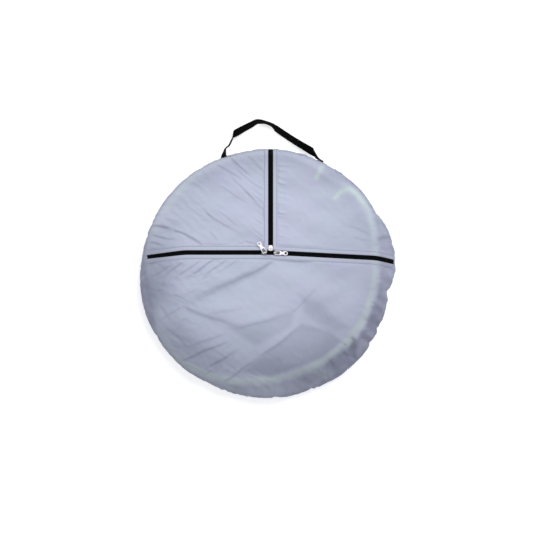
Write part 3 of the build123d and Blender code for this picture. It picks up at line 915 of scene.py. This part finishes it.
def stitch_row(run, off, start, end):
    t = np.linspace(-0.5, 0.5, 6)
    lift = 0.12 + 0.22 * np.cos(t * math.pi) ** 0.7
    middles = np.arange(start, end, STITCH_PITCH)
    lines = (run_line(run, middle + t * STITCH_LENGTH, off, lift) for middle in middles)
    return tube_mesh("stitches", *(round_tube(line, 0.26, 6) for line in lines))


def round_tube(line, radius, sides, level=True):
    """Rings of points round a line, which lies nearly level or turns in any direction."""
    way = unit(np.gradient(line, axis=0))
    upright, ahead, aside = [0.0, 0.0, 1.0], [1.0, 0.0, 0.0], [0.0, 1.0, 0.0]
    other = upright if level else np.where(np.abs(way[:, :1]) < 0.6, [ahead], [aside])
    across = unit(np.cross(way, other))
    up = np.cross(across, way) if level else np.cross(way, across)
    turns = (np.arange(sides) * 2 * math.pi / sides)[None, :, None]
    return line[:, None] + radius * (across[:, None] * np.cos(turns) + up[:, None] * np.sin(turns))


# Each zip piece's tapes: run, side and where along the run they start
TAPES = {
    "cross_zip_lower": (("left", 1, -0.3), ("right", -1, -0.3)),
    "cross_zip_upper_left": (("left", -1, 0.6),),
    "cross_zip_upper_right": (("right", 1, 1.2),),
    "top_zip_left": (("top", 1, 5.2),),
    "top_zip_right": (("top", -1, 5.2),),
}
TAPE_SECTION = ((0.03, -0.6), (3.2, -0.58), (5.5, -0.62), (9.5, -0.7), (9.5, -1.15), (0.03, -1.15))
# The coil: its middle's distance from the zip's middle line, half its width and height, its pitch
COIL_MIDDLE = 1.8
COIL_HALF_WIDTH = 0.92
COIL_HALF_HEIGHT = 0.62
COIL_PITCH = 1.45
COIL_SEGMENTS = 8
CHAIN_LINE = 3.15


def coil_row(run, side, start, end):
    """A row of coil teeth as one wound monofilament."""
    turns = np.arange(0, (end - start) / COIL_PITCH, 1 / COIL_SEGMENTS)
    phase = 2 * math.pi * turns
    off = side * (COIL_MIDDLE + COIL_HALF_WIDTH * np.cos(phase))
    lift = 0.38 + COIL_HALF_HEIGHT * np.sin(phase)
    line = run_line(run, start + turns * COIL_PITCH, off, lift)
    return tube_mesh("coil", round_tube(line, 0.3, 5, level=False))


def coil_core(run, side, start, end):
    """The cord that a coil is wound round."""
    line = run_line(run, np.linspace(start, end, 110), side * COIL_MIDDLE, 0.3)
    return tube_mesh("core", round_tube(line, 0.62, 8))


def chain_stitch(run, side, start, end):
    """The thread that sews a coil to its tape."""
    along = np.arange(start, end, 0.5)
    lift = -0.5 + 0.12 * np.abs(np.sin(along * math.pi / COIL_PITCH))
    return tube_mesh("chain", round_tube(run_line(run, along, side * CHAIN_LINE, lift), 0.24, 5))


def make_zips():
    """Woven tapes and wound coils for every side of every run."""
    tapes, coils = {}, {}
    for name, runs in TAPES.items():
        tape_parts, coil_parts = [], []
        for run, side, start in runs:
            first, last = start + (5.5 if run == "top" else 0.4), RUN_END[run] - 1
            section = one_side(side, TAPE_SECTION)
            tape_parts.append(strip("tape", run, section, start, RUN_END[run]))
            tape_parts.append(chain_stitch(run, side, first, last))
            coil_parts.append(coil_row(run, side, first, last))
            coil_parts.append(coil_core(run, side, first, last))
        tapes[name] = join(f"{name}_zip_tape", tape_parts)
        coils[name] = join(f"{name}_zip_coil", coil_parts)
    return tapes, coils


STOP_LENGTH = 3.0
STOP_SECTION = ((-3.2, 1.1), (-2.5, 1.6), (2.5, 1.6), (3.2, 1.1), (3.2, -0.5), (-3.2, -0.5))


def make_stops():
    """The crimped end stop across each zip, lying on the cloth where it falls to the rim."""
    stops = {}
    for run, (_, straight, tail, _) in RUNS.items():
        end = straight + tail
        stops[run] = strip(f"{run}_zip_stop", run, STOP_SECTION, end - STOP_LENGTH, end, 0.5)
    return stops


# Handle

# x, y, z of the webbing's middle, then half its width as seen from above (x, y); the rest of the
# half width stands up or down, so the strap twists as those two shrink
HANDLE = (
    (-85.3, 222.6, 13, 6.9, 2.6), (-85.3, 222.6, 18.5, 6.8, 2.6), (-85.3, 223.2, 25, 5.3, 2.1),
    (-84.6, 227.5, 27.5, 4.4, 1.6), (-83.3, 233, 26, 2.8, 0.9), (-82, 238, 23.5, 2.0, 0.1),
    (-78, 242.3, 21, 1.7, -1.1), (-74.9, 245.2, 19, 1.8, -0.6), (-70.6, 255.2, 13, 1.9, 0.2),
    (-68.4, 261.6, 10, 1.3, 1.2), (-66.8, 267.8, 8.8, 0.8, 7.0), (-59, 272.2, 8.8, -1.4, 6.3),
    (-48.5, 278.2, 8.6, -2.7, 4.8), (-32, 286.8, 8.6, -2.1, 4.2), (-22.5, 292, 8.6, -0.9, 3.6),
    (-14, 292.2, 8.6, 0.4, 3.0), (-4.6, 290.7, 8.6, 0.6, 1.7), (6.4, 286.4, 8.6, 1.3, 2.0),
    (12.5, 282, 8.6, 2.0, 3.0), (17, 278, 8.8, 2.9, 4.2), (31.2, 268, 9.2, 3.0, 4.6),
    (53.2, 253.6, 10, 3.1, 4.9), (80.6, 236.8, 12.5, 3.2, 5.8), (87.0, 232.5, 13.5, 0.2, 7.4),
    (89.4, 229.6, 14.5, -1.4, 7.2), (91.4, 225.4, 16, -0.2, 4.0), (94.4, 221.8, 17, 0.5, 1.2),
    (98.6, 218, 17, 0.2, 0.5), (102.5, 215.9, 16.5, 0.1, 0.2), (106.4, 213.9, 16, 0.1, 0.2),
)
HALF_WEBBING = 7.5
HALF_WEBBING_THICKNESS = 0.7
# The strap's cross-section, in half widths and half thicknesses
WEBBING_SECTION = (
    (-1, 0), (-0.96, 1), (-0.5, 1), (0, 1), (0.5, 1), (0.96, 1),
    (1, 0), (0.96, -1), (0.5, -1), (0, -1), (-0.5, -1), (-0.96, -1),
)


def spline(points, count):
    """A smooth line through given points."""
    points = np.asarray(points, float)
    padded = np.vstack([2 * points[0] - points[1], points, 2 * points[-1] - points[-2]])
    return smooth_lookup(padded, np.linspace(1, len(points), count))


def make_handle():
    """The webbing loop: a flat woven strap that twists and folds between its two roots."""
    stations = spline(HANDLE, 340)
    line = stations[:, :3]
    flat = np.minimum(np.linalg.norm(stations[:, 3:], axis=1), HALF_WEBBING)
    rise = np.sqrt(HALF_WEBBING**2 - flat**2)
    wide = HALF_WEBBING * unit(np.column_stack([stations[:, 3:], rise]))
    thin = HALF_WEBBING_THICKNESS * unit(np.cross(np.gradient(line, axis=0), wide))
    grid = np.stack([line + wide * a + thin * b for a, b in WEBBING_SECTION], axis=1)
    length = np.concatenate([[0], np.cumsum(np.linalg.norm(np.diff(line, axis=0), axis=1))])
    uv = [(d * MM, a * HALF_WEBBING * MM) for d in length for a, _ in WEBBING_SECTION]
    return tube_mesh("carry_handle_webbing", grid, uv=uv)


# Half the arc each patch covers, how far down the wall it goes and how far inside it lies
PATCH_HALF_ARC = 3.3
PATCH_ROWS = (0.15, 0.85)
PATCH_INSET = 1.0
PATCH_STATIONS = 25


def make_patches():
    """The patch sewn inside the side wall behind each end of the handle."""
    patches = {}
    for side, middle in (("left", LEFT_ROOT), ("right", RIGHT_ROOT)):
        angle = np.linspace(middle - PATCH_HALF_ARC, middle + PATCH_HALF_ARC, PATCH_STATIONS)
        top = FACE_Z - around(FALL_DEPTH, angle)
        rows = []
        for t in np.linspace(*PATCH_ROWS, 13):
            x, y = plan(wall_radius(angle, t) - PATCH_INSET, angle)
            rows.append(np.stack([x, y, top + (BACK_TURN_Z - top) * t], axis=-1))
        rounds = grid_faces(0, len(rows) - 1, PATCH_STATIONS).reshape(-1, PATCH_STATIONS, 4)
        faces = rounds[:, :-1].reshape(-1, 4).tolist()
        patches[side] = mesh_object(f"{side}_sewn_patch", np.concatenate(rows), faces)
        thicken(patches[side], 0.9)
    return patches


# Materials


class Surface:
    """A new material, with short ways to add nodes and to set its shader."""

    def __init__(self, name, coordinates="Object"):
        self.material = bpy.data.materials.new(name)
        self.material.use_nodes = True
        self.tree = self.material.node_tree
        self.place = self.add("TexCoord", {}).outputs[coordinates]

    def put(self, socket, value):
        """Links another node's output to an input, or sets the input to a plain value."""
        if isinstance(value, bpy.types.NodeSocket):
            self.tree.links.new(value, socket)
        else:
            socket.default_value = value

    def add(self, kind, inputs, **settings):
        node = self.tree.nodes.new("ShaderNode" + kind)
        for setting, value in settings.items():
            setattr(node, setting, value)
        for key, value in inputs.items():
            self.put(node.inputs[key], value)
        return node

    def noise(self, scale, detail=4.0, rough=0.55):
        inputs = {"Vector": self.place, "Scale": scale, "Detail": detail, "Roughness": rough}
        return self.add("TexNoise", inputs).outputs["Fac"]

    def wave(self, scale, direction, distortion=0.0):
        inputs = {"Vector": self.place, "Scale": scale, "Distortion": distortion}
        return self.add("TexWave", inputs, bands_direction=direction).outputs["Fac"]

    def maths(self, operation, a, b):
        return self.add("Math", {0: a, 1: b}, operation=operation).outputs[0]

    def weave(self, scale):
        return self.maths("MULTIPLY", self.wave(scale, "X"), self.wave(scale, "Y"))

    def ramp(self, factor, low, high, low_at=0.3, high_at=0.7):
        node = self.add("ValToRGB", {"Fac": factor})
        ends = node.color_ramp.elements
        for end, position, colour in ((ends[0], low_at, low), (ends[1], high_at, high)):
            end.position = position
            end.color = (*colour, 1)
        return node.outputs["Color"]

    def mix(self, factor, a, b, blend="MIX"):
        """Two colours mixed, each another node's output or plain red, green and blue."""
        a, b = ((*value, 1) if isinstance(value, tuple) else value for value in (a, b))
        inputs = {0: factor, 6: a, 7: b}
        return self.add("Mix", inputs, data_type="RGBA", blend_type=blend).outputs[2]

    def bump(self, height, strength, distance, **more):
        inputs = {"Height": height, "Strength": strength, "Distance": distance, **more}
        return self.add("Bump", inputs).outputs["Normal"]

    def finish(self, **inputs):
        """Sets the shader's inputs, their names written with underscores, for the material."""
        for name, value in inputs.items():
            self.put(self.tree.nodes["Principled BSDF"].inputs[name.replace("_", " ")], value)
        return self.material


# What paint() stored on the cloth, and the colour that each mixes in: the green hoop that shows through,
# then painted shade over the empty space, broad painted shade and painted crease shade
SHOW_THROUGH_AND_SHADE = {
    "hoop_green": (0.555, 0.672, 0.65),
    "empty": (0.174, 0.18, 0.262),
    "painted_shade": (0.165, 0.178, 0.25),
    "crease": (0.22, 0.24, 0.33),
}


def nylon(name, base, shade, with_show_through_and_shade=True):
    """Thin woven nylon: fine weave, crinkle, soft sheen, what shows through it, and painted shade."""
    surface = Surface(name)
    colour = surface.mix(surface.noise(9.0, 5.0), shade, base)
    tint = surface.ramp(surface.noise(14.0, 3.0), (0.97, 1.0, 1.0), (1.0, 0.97, 1.03), 0.35, 0.65)
    colour = surface.mix(1.0, colour, tint, "MULTIPLY")
    for overlay, tone in SHOW_THROUGH_AND_SHADE.items() if with_show_through_and_shade else ():
        amount = surface.add("Attribute", {}, attribute_name=overlay).outputs["Fac"]
        colour = surface.mix(amount, colour, tone)
    crinkle = surface.bump(surface.noise(90.0, 6.0, 0.6), 0.35, 0.0012)
    normal = surface.bump(surface.weave(420), 0.25, 0.0002, Normal=crinkle)
    return surface.finish(Base_Color=colour, Roughness=0.62, Sheen_Weight=0.25, Sheen_Roughness=0.4,
                          Specular_IOR_Level=0.35, Normal=normal)


def black_tape():
    """Woven zip tape: a fine herringbone in black polyester."""
    surface = Surface("black zip tape")
    weave = surface.maths("ADD", surface.wave(300, "DIAGONAL", 1.0), surface.wave(380, "X"))
    tone = surface.ramp(weave, (0.0012, 0.0012, 0.0016), (0.004, 0.004, 0.005))
    return surface.finish(Base_Color=tone, Roughness=0.8, Specular_IOR_Level=0.12,
                          Normal=surface.bump(weave, 0.4, 0.0002))


def black_nylon():
    """The coils' and end stops' nylon, faintly uneven."""
    surface = Surface("black nylon coil")
    spots = surface.noise(900.0, 3.0)
    tone = surface.ramp(spots, (0.0015, 0.0015, 0.002), (0.005, 0.005, 0.006))
    return surface.finish(Base_Color=tone, Roughness=0.55, Specular_IOR_Level=0.06,
                          Normal=surface.bump(spots, 0.2, 0.0001))


def webbing():
    """Ribbed black polypropylene webbing, its ribs across the strap."""
    surface = Surface("black webbing", "UV")
    weave = surface.maths("MULTIPLY", surface.wave(260, "X", 0.6), surface.wave(210, "Y"))
    fuzz = surface.maths("MULTIPLY", surface.noise(700.0), 0.5)
    both = surface.maths("ADD", weave, fuzz)
    tone = surface.ramp(both, (0.001, 0.001, 0.0012), (0.004, 0.004, 0.0045), 0.2, 0.9)
    return surface.finish(Base_Color=tone, Roughness=0.8, Specular_IOR_Level=0.06,
                          Normal=surface.bump(both, 0.6, 0.0004))


def metal(name, colour, roughness):
    """Plated or plain metal with fine scratches and slightly uneven gloss."""
    surface = Surface(name)
    stretch = surface.add("Mapping", {"Vector": surface.place, "Scale": (1.0, 6.0, 1.0)})
    surface.place = stretch.outputs["Vector"]
    lines = surface.noise(500.0, 5.0, 0.7)
    tone = surface.ramp(lines, tuple(c * 0.82 for c in colour), colour)
    limits = {"Value": lines, "To Min": roughness * 0.7, "To Max": roughness * 1.5}
    gloss = surface.add("MapRange", limits).outputs["Result"]
    return surface.finish(Base_Color=tone, Roughness=gloss, Metallic=1.0,
                          Normal=surface.bump(lines, 0.15, 0.0001))


def woven(name, low, high, scale, roughness):
    """Plain woven cloth, slightly uneven in tone."""
    surface = Surface(name)
    return surface.finish(Base_Color=surface.ramp(surface.noise(25.0), low, high),
                          Roughness=roughness, Normal=surface.bump(surface.weave(scale), 0.4, 0.0003))


# Putting it together


def dress(obj, material, slot, *nodes):
    """Gives a piece its material and hides the CAD nodes that it replaces; slot is not used."""
    obj.data.materials.append(material)
    if nodes:
        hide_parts(*nodes)


def ride_bag(obj, material, slot, *nodes):
    dress(obj, material, slot, *nodes)
    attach(obj, "bag")


# The bag's sheets: the CAD node each stands for, then its flat size and area as cut, in metres
SHEETS = {
    "front_lower": ("front_lower_panel", (0.485, 0.29), 0.112),
    "front_upper_left": ("front_upper_left_panel", (0.245, 0.21), 0.0385),
    "front_upper_right": ("front_upper_right_panel", (0.24, 0.22), 0.0395),
    "back": ("back_panel", (0.47, 0.47), 0.1735),
    "gusset": ("side_gusset", (1.51, 0.031), None),
}
CLOTH_THICKNESS = 0.45


def ride_cloth(sheets, welt, hems, stitches):
    """The bag's cloth pieces: each sheet, and what is sewn on it, given its material and tied to the bag.
    """
    cloth = nylon("lavender nylon", (0.507, 0.545, 0.662), (0.438, 0.475, 0.588))
    hem_cloth = nylon("lavender nylon hem", (0.51, 0.545, 0.66), (0.45, 0.485, 0.59))
    thread = nylon("lavender thread", (0.24, 0.26, 0.34), (0.19, 0.21, 0.29), with_show_through_and_shade=False)
    ride_bag(welt, hem_cloth, "bag_nylon")
    for name in HEMS:
        ride_bag(hems[name], hem_cloth, "bag_nylon")
        ride_bag(stitches[name], thread, "bag_nylon")
    for name, (node, flat, area) in SHEETS.items():
        sheet = sheets[name]
        thicken(sheet, CLOTH_THICKNESS)
        ride_bag(sheet, cloth, "bag_nylon", node)


def ride_zips(tapes, coils, stops, tape_material, coil_material):
    for name in TAPES:
        ride_bag(tapes[name], tape_material, "zip_tape", f"{name}_tape")
        ride_bag(coils[name], coil_material, "zip_coil", f"{name}_teeth")
    for run, stop in stops.items():
        ride_bag(stop, coil_material, "zip_coil", f"{run}_end_stop")


def ride_handle(handle, patches, patch_material):
    dress(handle, webbing(), "webbing", "handle_webbing", "left_handle_root", "right_handle_root")
    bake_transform(handle)
    for side, patch in patches.items():
        ride_bag(patch, patch_material, "webbing", f"{side}_handle_patch")


def dress_cad_nodes():
    nickel = metal("nickel plate", (0.93, 0.91, 0.96), 0.2)
    # The left and right slider bodies take a darker copy of the same nickel plate: painted shade
    shaded_nickel = metal("nickel plate with painted shade", (0.20, 0.20, 0.23), 0.25)
    materials = {
        "left_slider_body": shaded_nickel,
        "right_slider_body": shaded_nickel,
        "spring_hoop": metal("spring steel", (0.45, 0.47, 0.50), 0.3),
        "hoop_ferrule": metal("crimped steel", (0.62, 0.62, 0.64), 0.35),
        "hoop_sleeve": woven("green binding", (0.36, 0.50, 0.42), (0.50, 0.64, 0.55), 300.0, 0.8),
        "reflector_cloth": woven("folded reflector", (0.62, 0.63, 0.65), (0.86, 0.87, 0.88), 220.0, 0.45),
    }
    bright = ["top_slider_body", *(f"{run}_slider_crown" for run in RUNS)]
    for name in bright + [f"{run}_pull_tab" for run in RUNS]:
        materials[name] = nickel
    for name, material in materials.items():
        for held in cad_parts[name].material_slots:
            held.material = material


def make_floor():
    """A plain white floor that glows faintly, just under the bag."""
    bpy.ops.mesh.primitive_plane_add(size=8.0, location=(0, 0, -0.0002))
    floor = bpy.context.object
    floor.name = "studio_floor"
    surface = Surface("white floor")
    tone = surface.ramp(surface.noise(3.0), (0.90, 0.90, 0.90), (0.94, 0.94, 0.94))
    material = surface.finish(Base_Color=tone, Roughness=0.9, Emission_Color=(1.0, 1.0, 1.0, 1.0),
                              Emission_Strength=0.32)
    floor.data.materials.append(material)


def area_light(name, place, target, size, power):
    light = bpy.data.lights.new(name, "AREA")
    light.size = size
    light.energy = power
    obj = add_object(name, light)
    obj.location = place
    way = Vector(target) - Vector(place)
    obj.rotation_euler = way.to_track_quat("-Z", "Y").to_euler()


def make_lights():
    world = bpy.data.worlds.new("studio")
    world.use_nodes = True
    background = world.node_tree.nodes["Background"]
    background.inputs["Color"].default_value = (1.0, 1.0, 1.0, 1.0)
    background.inputs["Strength"].default_value = 0.72
    bpy.context.scene.world = world
    area_light("key", (0.9, 1.7, 2.3), (0.0, 0.0, 0.0), 1.6, 40.0)
    area_light("glint", (0.0, 0.11, 3.2), (0.0, 0.04, 0.0), 0.5, 0.75)


def make_camera():
    """Straight above the face, two metres off, with the whole handle in view."""
    camera = bpy.data.cameras.new("camera")
    camera.sensor_width = 36.0
    camera.lens = 68.5
    obj = add_object("camera", camera)
    obj.location = (0.0162, -0.0066, 2.04)
    bpy.context.scene.camera = obj


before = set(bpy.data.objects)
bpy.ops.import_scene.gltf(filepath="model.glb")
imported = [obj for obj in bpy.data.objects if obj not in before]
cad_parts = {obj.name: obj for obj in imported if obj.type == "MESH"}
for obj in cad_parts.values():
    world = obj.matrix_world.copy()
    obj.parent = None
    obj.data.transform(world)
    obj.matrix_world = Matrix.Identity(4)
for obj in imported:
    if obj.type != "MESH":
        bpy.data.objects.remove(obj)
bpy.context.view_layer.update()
bpy.context.scene.view_settings.view_transform = "Standard"
make_camera()
make_floor()
make_lights()

tape_black = black_tape()
sheets, welt = make_cloth()
ride_cloth(sheets, welt, *make_hems())
tapes, coils = make_zips()
ride_zips(tapes, coils, make_stops(), tape_black, black_nylon())
ride_handle(make_handle(), make_patches(), tape_black)
dress_cad_nodes()
